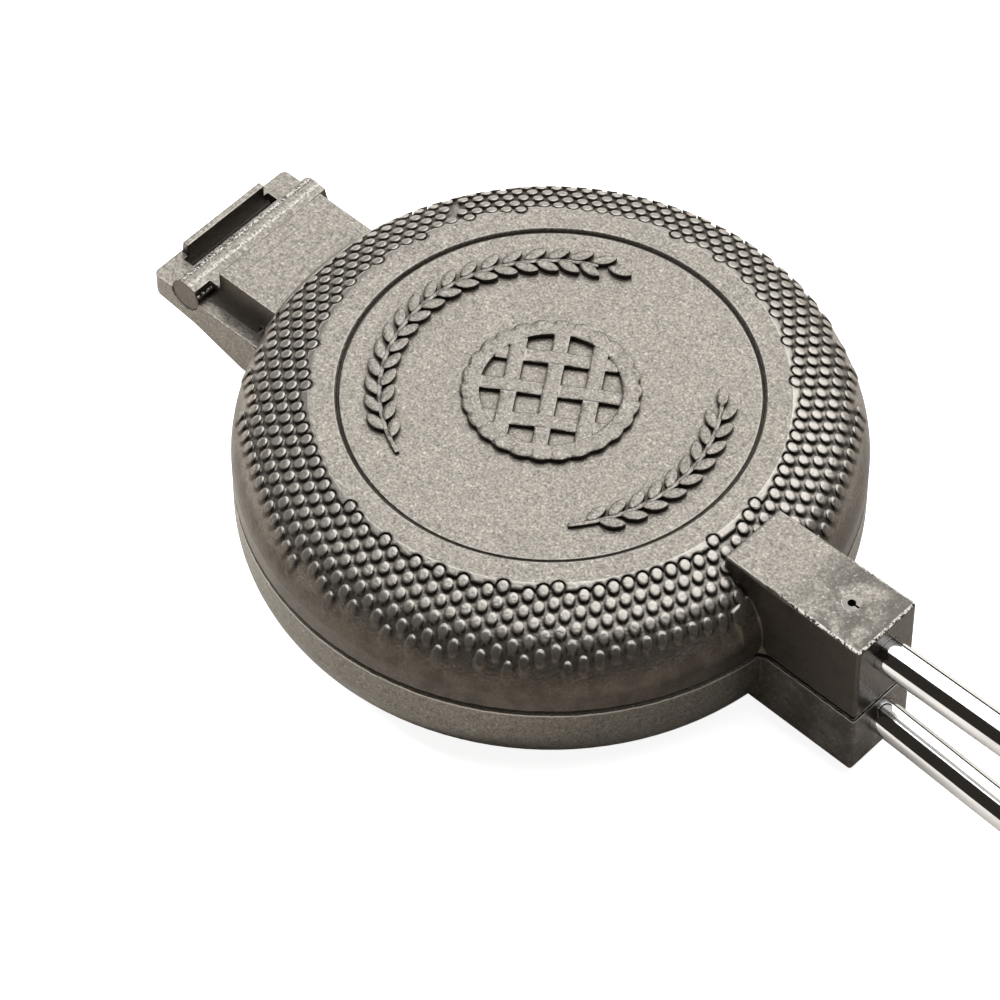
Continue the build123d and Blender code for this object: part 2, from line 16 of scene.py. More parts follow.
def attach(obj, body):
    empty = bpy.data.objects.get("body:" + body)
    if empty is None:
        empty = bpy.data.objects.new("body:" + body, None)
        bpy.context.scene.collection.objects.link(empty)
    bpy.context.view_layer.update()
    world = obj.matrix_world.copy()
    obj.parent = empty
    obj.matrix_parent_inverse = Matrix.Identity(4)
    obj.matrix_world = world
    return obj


MM = 0.001
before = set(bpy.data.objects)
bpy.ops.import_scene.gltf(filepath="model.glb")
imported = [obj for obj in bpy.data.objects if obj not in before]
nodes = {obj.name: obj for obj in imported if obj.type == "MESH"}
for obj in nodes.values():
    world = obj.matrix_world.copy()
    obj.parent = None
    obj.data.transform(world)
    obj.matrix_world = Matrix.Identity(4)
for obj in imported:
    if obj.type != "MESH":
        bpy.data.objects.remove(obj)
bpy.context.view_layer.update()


# %% [markdown]
# ## The camera
# The iron is looked at from its front right, from about 51 degrees above the table, with a long
# lens that keeps the round bowl an honest ellipse. The camera could be parented to a target, but
# three directions and one distance are easier to read: back points from the iron to the camera,
# and the two small shifts slide the camera sideways and upwards so that the bowl sits off centre.

# %% Camera
PARTING = 18.2 * MM     # height at which the two halves meet
FILM_WIDTH = 36         # in millimetres, as lenses are measured


def set_camera(azimuth, elevation, roll, aside, above, distance, lens):
    """Looks at the middle of the iron, with all three angles in radians."""
    back = Vector((math.cos(azimuth) * math.cos(elevation),
                   math.sin(azimuth) * math.cos(elevation), math.sin(elevation)))
    level = Vector((-math.sin(azimuth), math.cos(azimuth), 0))
    upright = back.cross(level)
    right = math.cos(roll) * level + math.sin(roll) * upright
    up = math.cos(roll) * upright - math.sin(roll) * level
    data = bpy.data.cameras.new("camera")
    data.lens, data.sensor_width = lens, FILM_WIDTH
    data.clip_start, data.clip_end = 0.05, 50
    camera = bpy.data.objects.new("camera", data)
    turn = Matrix((right, up, back)).transposed().to_4x4()
    place = back * distance - right * aside - up * above + Vector((0, 0, PARTING))
    camera.matrix_world = Matrix.Translation(place) @ turn
    bpy.context.scene.collection.objects.link(camera)
    bpy.context.scene.camera = camera
    return camera


camera = set_camera(azimuth=-0.8215775, elevation=0.8993518, roll=-0.0036616,
                    aside=8.8330 * MM, above=7.5243 * MM, distance=969.738 * MM,
                    lens=5.52348 * FILM_WIDTH)
print("camera at", [round(v, 3) for v in camera.matrix_world.translation])

# %% [markdown]
# ## The studio
# Bare iron and chrome show the room more than their own colour, so the room is built first. One
# big soft light hangs behind and above the iron: it fills every face that looks up and leaves the
# faces that look at the camera dark. A small lamp beyond the hinge lifts the walls on that side. It
# is kept out of the reflections, where it would be a hard white dot. The table and the room are
# white for the camera only. For the metal they are warmer and darker, so that it has something
# brown to mirror.

# %% Small helpers for shader nodes
def add(tree, kind, **settings):
    """Adds a node. A setting with a capital fills a socket, any other sets an option."""
    made = tree.nodes.new(kind)
    for name, value in settings.items():
        if name[0].isupper():
            made.inputs[name.replace("_", " ")].default_value = value
        else:
            setattr(made, name, value)
    return made


def feed(tree, value, socket):
    if isinstance(value, bpy.types.NodeSocket):
        tree.links.new(value, socket)
    else:
        socket.default_value = value


def maths(tree, operation, first, second=None, third=None, clamp=False):
    made = add(tree, "ShaderNodeMath", operation=operation, use_clamp=clamp)
    for value, socket in zip((first, second, third), made.inputs):
        if value is not None:
            feed(tree, value, socket)
    return made.outputs[0]


def times(tree, first, second):
    return maths(tree, "MULTIPLY", first, second)


def line(tree, value, slope, start):
    """A straight line: the value times a slope, plus what it starts from."""
    return maths(tree, "MULTIPLY_ADD", value, slope, start)


def remap(tree, value, low, high, to_low=0.0, to_high=1.0, smooth=True):
    made = add(tree, "ShaderNodeMapRange",
               interpolation_type="SMOOTHSTEP" if smooth else "LINEAR")
    for socket, entry in zip(made.inputs, (value, low, high, to_low, to_high)):
        feed(tree, entry, socket)
    return made.outputs[0]


def split_up(tree, vector):
    """The three parts of a vector, each as its own number."""
    made = add(tree, "ShaderNodeSeparateXYZ")
    feed(tree, vector, made.inputs[0])
    return made.outputs


# %% Helpers for colours and materials
def mix(tree, kind, sockets, amount, first, second):
    made = add(tree, "ShaderNodeMix", data_type=kind)
    for socket, value in zip(sockets, (amount, first, second)):
        feed(tree, value, made.inputs[socket])
    return made


def blend(tree, amount, first, second):
    return mix(tree, "RGBA", (0, 6, 7), amount, first, second).outputs[2]


def blend_vectors(tree, amount, first, second):
    return mix(tree, "VECTOR", (0, 4, 5), amount, first, second).outputs[1]


def shade(colour, factor=1.0):
    """A colour made lighter or darker, with the fourth number that a colour socket wants."""
    return (*[channel * factor for channel in colour], 1)


def new_material(name):
    material = bpy.data.materials.new(name)
    material.use_nodes = True
    material.node_tree.nodes.clear()
    tree = material.node_tree
    output = add(tree, "ShaderNodeOutputMaterial")
    surface = add(tree, "ShaderNodeBsdfPrincipled")
    tree.links.new(surface.outputs[0], output.inputs[0])
    return material, tree, surface


# %% Table and room
WHITE = (1, 1, 1)


def lay_table(size, glow, for_camera=(0.8, 0.8, 0.8), for_metal=(0.70, 0.66, 0.61)):
    """A pale level table just below the iron, with a glow that only the camera sees."""
    mesh = bmesh.new()
    bmesh.ops.create_grid(mesh, x_segments=1, y_segments=1, size=size)
    bmesh.ops.translate(mesh, verts=mesh.verts, vec=(0, 0, -0.05 * MM))
    data = bpy.data.meshes.new("table_top")
    mesh.to_mesh(data)
    mesh.free()
    table = bpy.data.objects.new("table_top", data)
    bpy.context.scene.collection.objects.link(table)
    material, tree, surface = new_material("pale_table")
    surface.inputs["Roughness"].default_value = 0.9
    surface.inputs["Specular IOR Level"].default_value = 0.0
    surface.inputs["Emission Color"].default_value = shade(WHITE)
    seen = add(tree, "ShaderNodeLightPath").outputs["Is Camera Ray"]
    feed(tree, blend(tree, seen, shade(for_metal), shade(for_camera)),
         surface.inputs["Base Color"])
    feed(tree, times(tree, seen, glow), surface.inputs["Emission Strength"])
    data.materials.append(material)


def build_room(for_camera, for_metal, metal_sees=(1, 0.86, 0.72)):
    """A room that is bright behind the iron and nearly dark in its reflections."""
    world = bpy.data.worlds.new("room")
    world.use_nodes = True
    tree = world.node_tree
    tree.nodes.clear()
    seen = add(tree, "ShaderNodeLightPath").outputs["Is Camera Ray"]
    backdrop = add(tree, "ShaderNodeBackground")
    feed(tree, blend(tree, seen, shade(metal_sees), shade(WHITE)), backdrop.inputs["Color"])
    feed(tree, line(tree, seen, for_camera - for_metal, for_metal), backdrop.inputs["Strength"])
    output = add(tree, "ShaderNodeOutputWorld")
    tree.links.new(backdrop.outputs[0], output.inputs[0])
    bpy.context.scene.world = world


bpy.context.scene.view_settings.view_transform = "Standard"
lay_table(size=4.0, glow=0.9)
build_room(for_camera=1.0, for_metal=0.03)
print("table and room are in place")

# %% Lights
def hang_light(name, azimuth, elevation, distance, width, height, watts, aim=(0, 0, 0.02)):
    """Hangs a flat light that faces the point it is aimed at, with its angles in degrees."""
    data = bpy.data.lights.new(name, "AREA")
    data.shape, data.size, data.size_y, data.energy = "RECTANGLE", width, height, watts
    a, e = math.radians(azimuth), math.radians(elevation)
    away = Vector((math.cos(a) * math.cos(e), math.sin(a) * math.cos(e), math.sin(e)))
    light = bpy.data.objects.new(name, data)
    light.location = Vector(aim) + away * distance
    light.rotation_euler = away.to_track_quat("Z", "Y").to_euler()
    bpy.context.scene.collection.objects.link(light)
    return light


back_softbox = hang_light("back_softbox", azimuth=105, elevation=60, distance=1.1,
                          width=1.7, height=2.1, watts=27)
table_lamp = hang_light("table_lamp", azimuth=190, elevation=38, distance=0.8,
                        width=0.3, height=0.3, watts=9, aim=(-0.05, -0.05, 0))
table_lamp.visible_glossy = False
print("lights:", [light.name for light in (back_softbox, table_lamp)])

# %% [markdown]
# ## Four effects that the iron parts share
# Sand-cast iron has a fine pitted grain left by the sand. Its corners are rubbed by handling, and
# those that face up are also painted lighter, a painted highlight. Its hollows hold soot and
# painted shade, and a black line of painted shade runs where the two halves meet. Each of these
# could be painted separately in every material, but they would drift apart. So each one is a node
# group, built once, with what it depends on as inputs, and the materials only say how much of it
# they want.

# %% A node group and how to place it
NUMBER, VECTOR = "NodeSocketFloat", "NodeSocketVector"


def new_group(name, inputs, outputs):
    group = bpy.data.node_groups.new(name, "ShaderNodeTree")
    for label, kind, value in inputs:
        socket = group.interface.new_socket(name=label, in_out="INPUT", socket_type=kind)
        if value is not None:
            socket.default_value = value
    for label, kind in outputs:
        group.interface.new_socket(name=label, in_out="OUTPUT", socket_type=kind)
    return group, add(group, "NodeGroupInput"), add(group, "NodeGroupOutput")


def place_group(tree, group, **values):
    made = add(tree, "ShaderNodeGroup", node_tree=group)
    for name, value in values.items():
        feed(tree, value, made.inputs[name])
    return made


# %% Sand grain
def make_sand_grain():
    """Height and tone of the sand grain, stray specks and slow patches, all from one place."""
    group, source, result = new_group(
        "sand_grain",
        [("Place", VECTOR, None), ("Grain per metre", NUMBER, 2300.0)],
        [("Height", NUMBER), ("Tone", NUMBER), ("Specks", NUMBER), ("Patches", NUMBER)])
    layers = []
    for share, detail in ((1.0, 2.0), (0.45, 1.0), (0.09, 4.0)):  # fine, coarse, patches
        noise = add(group, "ShaderNodeTexNoise", Detail=detail, Roughness=0.55)
        feed(group, times(group, source.outputs["Grain per metre"], share),
             noise.inputs["Scale"])
        feed(group, source.outputs["Place"], noise.inputs["Vector"])
        layers.append(noise.outputs[0])
    fine, coarse, patch = layers
    height = line(group, fine, 0.75, times(group, coarse, 0.25))
    feed(group, height, result.inputs["Height"])
    feed(group, remap(group, height, 0.30, 0.70, smooth=False), result.inputs["Tone"])
    feed(group, remap(group, height, 0.60, 0.70), result.inputs["Specks"])
    feed(group, remap(group, patch, 0.32, 0.58), result.inputs["Patches"])
    return group


sand_grain = make_sand_grain()
print("node group:", sand_grain.name)

# %% Edge wear and painted highlight
def make_edge_wear_and_highlight():
    """Outer edges that face up, the normal that rounds them off, and what stands proud."""
    group, source, result = new_group(
        "edge_wear_and_highlight",
        [("Width", NUMBER, 0.6 * MM), ("Breakup", NUMBER, 0.5)],
        [("Mask", NUMBER), ("Normal", VECTOR), ("Up", NUMBER), ("Proud", NUMBER)])
    rounded = add(group, "ShaderNodeBevel", samples=8)
    feed(group, source.outputs["Width"], rounded.inputs["Radius"])
    real = add(group, "ShaderNodeNewGeometry")
    facing = add(group, "ShaderNodeVectorMath", operation="DOT_PRODUCT")
    feed(group, rounded.outputs[0], facing.inputs[0])
    feed(group, real.outputs["Normal"], facing.inputs[1])
    # An edge is where the rounded normal leans away from the real one, outside any hollow.
    turned = remap(group, facing.outputs["Value"], 0.995, 0.90)
    hollow = add(group, "ShaderNodeAmbientOcclusion", samples=4, only_local=True)
    feed(group, times(group, source.outputs["Width"], 2.5), hollow.inputs["Distance"])
    outside = remap(group, hollow.outputs["AO"], 0.55, 0.85)
    local = add(group, "ShaderNodeVectorTransform", vector_type="NORMAL",
                convert_from="WORLD", convert_to="OBJECT")
    feed(group, rounded.outputs[0], local.inputs[0])
    up = split_up(group, local.outputs[0])[2]
    feed(group, up, result.inputs["Up"])
    feed(group, remap(group, hollow.outputs["AO"], 0.60, 0.95), result.inputs["Proud"])
    # Only edges that face up pass: worn edges, painted lighter where light from above falls, a
    # painted highlight.
    mask = times(group, times(group, turned, outside), remap(group, up, 0.3, 0.75))
    feed(group, maths(group, "MULTIPLY", mask, source.outputs["Breakup"], clamp=True),
         result.inputs["Mask"])
    feed(group, rounded.outputs[0], result.inputs["Normal"])
    return group


edge_wear_and_highlight = make_edge_wear_and_highlight()
print("node group:", edge_wear_and_highlight.name)

# %% Soot and painted shade in the hollows
def make_hollow_soot_and_shade():
    group, source, result = new_group(
        "hollow_soot_and_shade", [("Reach", NUMBER, 0.8 * MM)], [("Mask", NUMBER)])
    # Darker wherever the surface lies in a hollow: partly soot, partly painted shade where less
    # light reaches.
    hollow = add(group, "ShaderNodeAmbientOcclusion", samples=6)
    feed(group, source.outputs["Reach"], hollow.inputs["Distance"])
    feed(group, remap(group, hollow.outputs["AO"], 0.82, 0.35), result.inputs["Mask"])
    return group


hollow_soot_and_shade = make_hollow_soot_and_shade()
print("node group:", hollow_soot_and_shade.name)

# %% Joint line
def make_joint_line(above=0.75, below=0.65, rim=0.42, soft=0.15, ragged_by=0.5,
                    hinge_end=-57.0):
    """Painted black shade where the halves meet, and the rim under it, worn and painted lighter as
    a highlight, all in millimetres.
    """
    group, source, result = new_group(
        "joint_line",
        [("Place", VECTOR, None), ("Steep", NUMBER, 1.0)], [("Gap", NUMBER), ("Rim", NUMBER)])
    ragged = add(group, "ShaderNodeTexNoise", Scale=420.0, Detail=3.0)
    feed(group, source.outputs["Place"], ragged.inputs["Vector"])
    along, _, upwards = split_up(group, source.outputs["Place"])
    height = line(group, ragged.outputs[0], ragged_by * MM,
                  maths(group, "SUBTRACT", upwards, PARTING + ragged_by / 2 * MM))
    over = remap(group, height, above * MM, (above - soft) * MM)
    under = remap(group, height, -below * MM, (-below + 0.12) * MM)
    lower = remap(group, height, -(below + rim) * MM, -(below + rim - soft) * MM)
    # The gap gets painted black shade; the lip under it is worn and gets a painted highlight.
    gap = times(group, over, under)
    lip = times(group, lower, maths(group, "SUBTRACT", 1.0, under))
    steep = times(group, source.outputs["Steep"],
                  remap(group, along, hinge_end * MM, (hinge_end + 2) * MM))
    feed(group, times(group, gap, steep), result.inputs["Gap"])
    feed(group, times(group, lip, steep), result.inputs["Rim"])
    return group


joint_line = make_joint_line()
print("node group:", joint_line.name)

# %% [markdown]
# ## Cast iron
# Raw grey iron is a dull metal: a warm mid grey, not a mirror, with a speckle at the size of the
# moulding sand. One even grey would look like paint, so the finish is built in layers. First comes
# the speckled skin, with dark patches on the handle block. Then come the brown-black seasoning
# baked on to the steep walls, which is also painted shade there, the stains in it, painted shade
# in the big hollows, and soot with painted shade in the small ones. The bare tops of the pebbles
# and the rubbed corners go on over that, lighter where they face up as a painted highlight, and
# the black painted shade in the line between the halves comes last. The pebbles are real solids
# with sharp rims. A bevel in the shading rounds those rims, which saves rounding a thousand pins
# in the mesh.

# %% Zones of a casting
# Each zone fades in from the first number, where it starts, to the second, where it is full.
BLOCK_ZONE, HINGE_ZONE = (56 * MM, 66 * MM), (-57 * MM, -59 * MM)       # along X
DISC_ZONE, WALL_ZONE = (42 * MM, 39 * MM), (51 * MM, 53 * MM)           # by radius
SHOULDER_FROM, SHOULDER_TO = (40 * MM, 41 * MM), (56.2 * MM, 55.4 * MM)


def find_zones(tree, place, up):
    """Masks for the parts of a casting, from where a point lies and how far it faces up."""
    x, y, _ = split_up(tree, place)
    radius = maths(tree, "SQRT", line(tree, x, x, times(tree, y, y)))
    block, hinge = remap(tree, x, *BLOCK_ZONE), remap(tree, x, *HINGE_ZONE)
    upright = remap(tree, maths(tree, "ABSOLUTE", up), 0.80, 0.60)
    return {
        "block": block,
        "handled": maths(tree, "MAXIMUM", block, hinge),
        "disc": remap(tree, radius, *DISC_ZONE),
        "shoulder": times(tree, remap(tree, radius, *SHOULDER_FROM),
                          remap(tree, radius, *SHOULDER_TO)),
        "wall": times(tree, remap(tree, radius, *WALL_ZONE), upright),
    }


# %% Worn corners with a painted highlight, and pitted skin
def find_wear_and_highlight(tree, zones, up, tone, edge):
    """Worn corners, by a bevel's turn or on a fillet, and the tops of the pebbles, lighter where
    they face up as a painted highlight.
    """
    fillet = times(tree, remap(tree, up, 0.995, 0.95), remap(tree, up, 0.20, 0.45))
    fillet = times(tree, times(tree, fillet, zones["handled"]), remap(tree, tone, 0.25, 0.60))
    less_on_pebbles = line(tree, zones["shoulder"], -0.65, 1.0)
    corner = maths(tree, "MAXIMUM", fillet,
                   times(tree, edge.outputs["Mask"], less_on_pebbles))
    # Pebble crowns: bare tops, painted lighter where they face up and stand free, a painted
    # highlight.
    sloping = times(tree, zones["shoulder"], remap(tree, up, 0.995, 0.97))
    crown = times(tree, times(tree, sloping, edge.outputs["Proud"]),
                  remap(tree, edge.outputs["Up"], 0.4, 0.9, 0.0, 0.5))
    return corner, crown


def round_and_pit(tree, surface, height, corner, rounded):
    """Rounds the edges, tips the worn corners with their painted highlight towards the light above,
    and adds the sand pits.
    """
    sky = add(tree, "ShaderNodeVectorTransform", vector_type="NORMAL",
              convert_from="OBJECT", convert_to="WORLD")
    sky.inputs[0].default_value = (0, 0, 1)
    bump = add(tree, "ShaderNodeBump", Strength=0.8, Distance=0.12 * MM)
    feed(tree, height, bump.inputs["Height"])
    feed(tree, blend_vectors(tree, times(tree, corner, 0.6), rounded, sky.outputs[0]),
         bump.inputs["Normal"])
    feed(tree, bump.outputs[0], surface.inputs["Normal"])


# %% Cast-iron material
# The crown and corner colours are wear with a painted highlight on top; the gap colour is painted
# shade.
STRAY_SPECK, CROWN_WEAR_AND_HIGHLIGHT = (0.50, 0.48, 0.44), (0.62, 0.585, 0.535)
CORNER_WEAR_AND_HIGHLIGHT, GAP_SHADE = (0.52, 0.495, 0.455), (0.006, 0.005, 0.004)


def make_cast_iron(name, seasoning_and_shade, soot_and_shade_share, skin=(0.212, 0.195, 0.171),
                   burnt_and_shade=(0.072, 0.057, 0.044), rough=0.32):
    """Iron from bare to dark: its steep walls browned by baked oil and painted shade, its hollows
    blackened by carbon and painted shade.
    """
    material, tree, surface = new_material(name)
    here = add(tree, "ShaderNodeTexCoord")
    place, up = here.outputs["Object"], split_up(tree, here.outputs["Normal"])[2]
    zones = find_zones(tree, place, up)
    grain = place_group(tree, sand_grain, Place=place).outputs
    # Soot with painted shade in the small hollows, reaching about a millimetre.
    soot_and_shade = place_group(tree, hollow_soot_and_shade).outputs["Mask"]
    # Painted shade with a wide reach, which darkens the big hollows where the parts meet.
    wide_painted_shade = place_group(tree, hollow_soot_and_shade, Reach=7 * MM).outputs["Mask"]
    edge = place_group(tree, edge_wear_and_highlight,
                       Width=line(tree, zones["shoulder"], 0.3 * MM, 0.5 * MM),
                       Breakup=line(tree, grain["Tone"], 0.6, 0.45))
    joint = place_group(tree, joint_line, Place=place, Steep=zones["wall"]).outputs
    corner, crown = find_wear_and_highlight(tree, zones, up, grain["Tone"], edge)
    bright = maths(tree, "MAXIMUM", corner, joint["Rim"])
    # Steep walls get the brown-black of seasoning, which is also painted shade on faces that the
    # light from above misses.
    steep = remap(tree, maths(tree, "ABSOLUTE", edge.outputs["Up"]), 0.80, 0.30)
    seasoned_and_shaded = times(tree, steep, seasoning_and_shade)
    patchy = line(tree, zones["block"], 0.78, 0.10)
    stained_and_shaded = times(tree, seasoned_and_shaded, line(tree, grain["Patches"], -0.7, 0.7))
    # Less of the wide painted shade on the pebbled shoulder.
    wide_shade_share = line(tree, zones["shoulder"], -0.85, 0.95)
    # Soot and painted shade are strongest on the disc, round the raised figures.
    thick = line(tree, zones["disc"], 0.85 - soot_and_shade_share, soot_and_shade_share)
    colour = blend(tree, grain["Tone"], shade(skin, 0.45), shade(skin, 1.62))
    for amount, paint in (
        (times(tree, grain["Patches"], patchy), shade(skin, 0.35)),
        (times(tree, grain["Specks"], 0.4), shade(STRAY_SPECK)),
        # Seasoning and its stains on the steep walls, partly real and partly painted shade.
        (seasoned_and_shaded, shade(burnt_and_shade)),
        (stained_and_shaded, shade(burnt_and_shade, 0.45)),
        # Painted shade in the wide hollows, then soot with painted shade in the small ones.
        (times(tree, wide_painted_shade, wide_shade_share), shade(burnt_and_shade)),
        (times(tree, soot_and_shade, thick), shade(burnt_and_shade, 0.5)),
        # Bare crowns and worn corners, lighter where they face up as a painted highlight; painted
        # black shade in the joint last.
        (crown, shade(CROWN_WEAR_AND_HIGHLIGHT)),
        (times(tree, bright, 0.8), shade(CORNER_WEAR_AND_HIGHLIGHT)),
        (joint["Gap"], shade(GAP_SHADE)),
    ):
        colour = blend(tree, amount, colour, paint)
    feed(tree, colour, surface.inputs["Base Color"])
    feed(tree, line(tree, bright, -0.2, 0.82), surface.inputs["Metallic"])
    dull = line(tree, joint["Gap"], 0.5, line(tree, grain["Tone"], -0.08, rough + 0.04))
    feed(tree, line(tree, bright, -0.1, dull), surface.inputs["Roughness"])
    round_and_pit(tree, surface, grain["Height"], corner, edge.outputs["Normal"])
    return material


# %% Iron on the castings
def dress(node_name, material):
    data = nodes[node_name].data
    data.materials.clear()
    data.materials.append(material)


# Each iron says how much seasoning and painted shade its walls get, and how much soot and painted
# shade its hollows get off the disc.
cast_iron = make_cast_iron("cast_iron", seasoning_and_shade=0.82, soot_and_shade_share=0.12)
bare_iron = make_cast_iron("bare_cast_iron", seasoning_and_shade=0.12, soot_and_shade_share=0.3)
figure_iron = make_cast_iron("figure_iron", seasoning_and_shade=0.85, soot_and_shade_share=0.9)
dress("upper_casting", cast_iron)
dress("lower_casting", bare_iron)
print("cast iron on the two castings")

# %% [markdown]
# ## The raised ornament on the disc
# The middle of the disc carries a raised ornament, as such irons do. This one says what the iron
# is for without a word: a pie with a lattice crust, between two ears of wheat. It could be
# carved into the solid, but hundreds of small rounded faces are easier to shape as a mesh. Each
# figure is a flat outline, pulled up from the disc and rounded at its upper edge, so that it
# drafts out of a mould like the real casting. The outlines are drawn in millimetres and made
# metres at the end.

# %% Finishing a piece
def finish_piece(mesh, name, material, body, smooth_below=35):
    bmesh.ops.scale(mesh, vec=(MM, MM, MM), verts=mesh.verts)
    bmesh.ops.recalc_face_normals(mesh, faces=mesh.faces)
    data = bpy.data.meshes.new(name)
    mesh.to_mesh(data)
    mesh.free()
    piece = bpy.data.objects.new(name, data)
    bpy.context.scene.collection.objects.link(piece)
    data.materials.append(material)
    data.shade_smooth()
    data.set_sharp_from_angle(angle=math.radians(smooth_below))
    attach(piece, body)
    return piece


# %% Raising a flat outline
DISC_TOP = 36.0         # height of the disc's face, in millimetres
BURIED = 0.2            # how far a figure reaches down into the disc


def raised(mesh, height, rounding):
    """Pulls a flat outline up, rounds its upper rim and gives it back as a pattern to copy."""
    pulled = bmesh.ops.extrude_face_region(mesh, geom=list(mesh.faces))["geom"]
    tops = {part for part in pulled if isinstance(part, bmesh.types.BMFace)}
    lifted = [part for part in pulled if isinstance(part, bmesh.types.BMVert)]
    bmesh.ops.translate(mesh, vec=(0, 0, height + BURIED), verts=lifted)
    rim = {edge for face in tops for edge in face.edges
           if sum(link in tops for link in edge.link_faces) == 1}
    bmesh.ops.bevel(mesh, geom=list(rim), offset=rounding, segments=2, profile=0.5,
                    affect="EDGES", material=-1, clamp_overlap=True)
    bmesh.ops.translate(mesh, vec=(0, 0, DISC_TOP - BURIED), verts=mesh.verts)
    pattern = bpy.data.meshes.new("raised_pattern")
    mesh.to_mesh(pattern)
    mesh.free()
    return pattern


def strip_pattern(points, half_width, height, rounding):
    """A raised strip along a list of points in plan."""
    mesh = bmesh.new()
    rows = []
    for index, point in enumerate(points):
        ahead = points[min(index + 1, len(points) - 1)] - points[max(index - 1, 0)]
        side = Vector((-ahead.y, ahead.x)).normalized() * half_width
        rows.append([mesh.verts.new((*(point + side), 0)), mesh.verts.new((*(point - side), 0))])
    for near, far in zip(rows, rows[1:]):
        mesh.faces.new((near[0], near[1], far[1], far[0]))
    return raised(mesh, height, rounding)


def stamp(mesh, pattern, spot=Vector((0, 0)), direction=0.0):
    """Copies a pattern into a mesh, turned and moved in plan."""
    known = len(mesh.verts)
    mesh.from_mesh(pattern)
    mesh.verts.ensure_lookup_table()
    fresh = mesh.verts[known:]
    bmesh.ops.rotate(mesh, matrix=Matrix.Rotation(direction, 3, "Z"), verts=fresh)
    bmesh.ops.translate(mesh, vec=spot.to_3d(), verts=fresh)


# %% Ears of wheat
def grain_pattern(length, width, height):
    """One grain of wheat: a round outline drawn out to two points, pulled up and rounded."""
    mesh = bmesh.new()
    bmesh.ops.create_circle(mesh, cap_ends=True, segments=18, radius=1)
    for vert in mesh.verts:
        vert.co.y *= abs(vert.co.y) ** 0.45
    bmesh.ops.scale(mesh, vec=(length / 2, width / 2, 1), verts=mesh.verts)
    return raised(mesh, height, width * 0.18)


def in_plan(radius, angle):
    return Vector((radius * math.cos(math.radians(angle)), radius * math.sin(math.radians(angle))))


def make_ear(name, start, end, pairs, radius=29.7, apart=1.42, spread=27, stalk_steps=56):
    """An ear of wheat along a circle on the disc, from its stalk to its tip, in degrees."""
    mesh = bmesh.new()
    way = math.copysign(1, end - start)
    step = (end - start) / (pairs + 2)
    stalk = [in_plan(radius, start + (end - start) * 0.93 * i / stalk_steps)
             for i in range(stalk_steps + 1)]
    stamp(mesh, strip_pattern(stalk, half_width=0.4, height=0.7, rounding=0.16))
    grain = grain_pattern(length=4.5, width=2.05, height=1.05)
    for number in range(pairs):
        for side, ahead in ((1, 1.85), (-1, 1.35)):
            angle = start + step * (number + ahead)
            heading = math.radians(angle + way * (90 - side * spread))
            stamp(mesh, grain, in_plan(radius + side * apart, angle), heading)
    tip = start + step * (pairs + 1.7)
    stamp(mesh, grain, in_plan(radius, tip), math.radians(tip + way * 90))
    return finish_piece(mesh, name, figure_iron, "upper_half")


ear_left = make_ear("wheat_ear_left", start=250, end=106, pairs=17)
ear_right = make_ear("wheat_ear_right", start=-42, end=42, pairs=9)
print("ear faces:", len(ear_left.data.polygons), len(ear_right.data.polygons))

# %% Pie with a lattice crust
LANE = 7.2              # from one strip of the lattice to the next, in millimetres


def crimped_rim(inner, outer, crimps, wave=0.5, pinch=0.34):
    """The rim of the pie, pinched all round: its outline waves and its top dips at each pinch."""
    mesh = bmesh.new()
    loops = []
    for radius, swing in ((inner, 0.0), (outer, wave)):
        ring = bmesh.ops.create_circle(mesh, segments=crimps * 8, radius=radius)
        for vert in ring["verts"]:
            angle = math.atan2(vert.co.y, vert.co.x)
            vert.co.xy *= 1 + swing / radius * abs(math.cos(crimps * angle / 2))
        loops += list({edge for vert in ring["verts"] for edge in vert.link_edges})
    bmesh.ops.bridge_loops(mesh, edges=loops)
    pattern = raised(mesh, height=1.1, rounding=0.3)
    for vert in pattern.vertices:
        if vert.co.z > DISC_TOP + 0.3:
            angle = math.atan2(vert.co.y, vert.co.x)
            dip = (1 - abs(math.cos(crimps * angle / 2))) ** 2
            outwards = min(max((vert.co.xy.length - inner - 0.5) / 1.5, 0), 1)
            vert.co.z -= pinch * dip * outwards
    return pattern


def crust_strip(inner, offset, phase, tucked=0.6, weave=0.14):
    """A strip of the lattice, which rises over its neighbours and dips under them in turn."""
    half = math.sqrt((inner + tucked) ** 2 - offset**2)
    points = [Vector((half * t / 24, offset)) for t in range(-24, 25)]
    pattern = strip_pattern(points, half_width=1.45, height=0.85, rounding=0.28)
    for vert in pattern.vertices:
        if vert.co.z > DISC_TOP + 0.2:
            vert.co.z += weave * math.cos(math.pi * (vert.co.x / LANE + phase))
    return pattern


def make_pie(name, outer=15.3, inner=12.4, turned=33):
    mesh = bmesh.new()
    stamp(mesh, crimped_rim(inner, outer, crimps=26))
    for across in (0, 1):
        for lane, offset in enumerate((-LANE, 0.0, LANE)):
            stamp(mesh, crust_strip(inner, offset, lane + across),
                  direction=math.radians(turned + 90 * across))
    return finish_piece(mesh, name, figure_iron, "upper_half")


pie = make_pie("lattice_pie")
print("pie faces:", len(pie.data.polygons))

# %% [markdown]
# ## Chrome, spring steel and wire
# The rods are steel with a hard bright chrome. A plain mirror would look like a toy, and real
# chrome hides no scratches, so it gets a few fine ones along the rod, which blur the reflections
# a little. The rolled spring pins and nails are plain steel, and the latch is a bent zinc-plated
# wire, which is paler and duller than chrome. All three are scratched and hazy in the same way,
# only more or less so, which makes that one more node group.

# %% Scratches and haze
SCRATCHES = (90, 3200, 3200)    # per metre, along X and across it


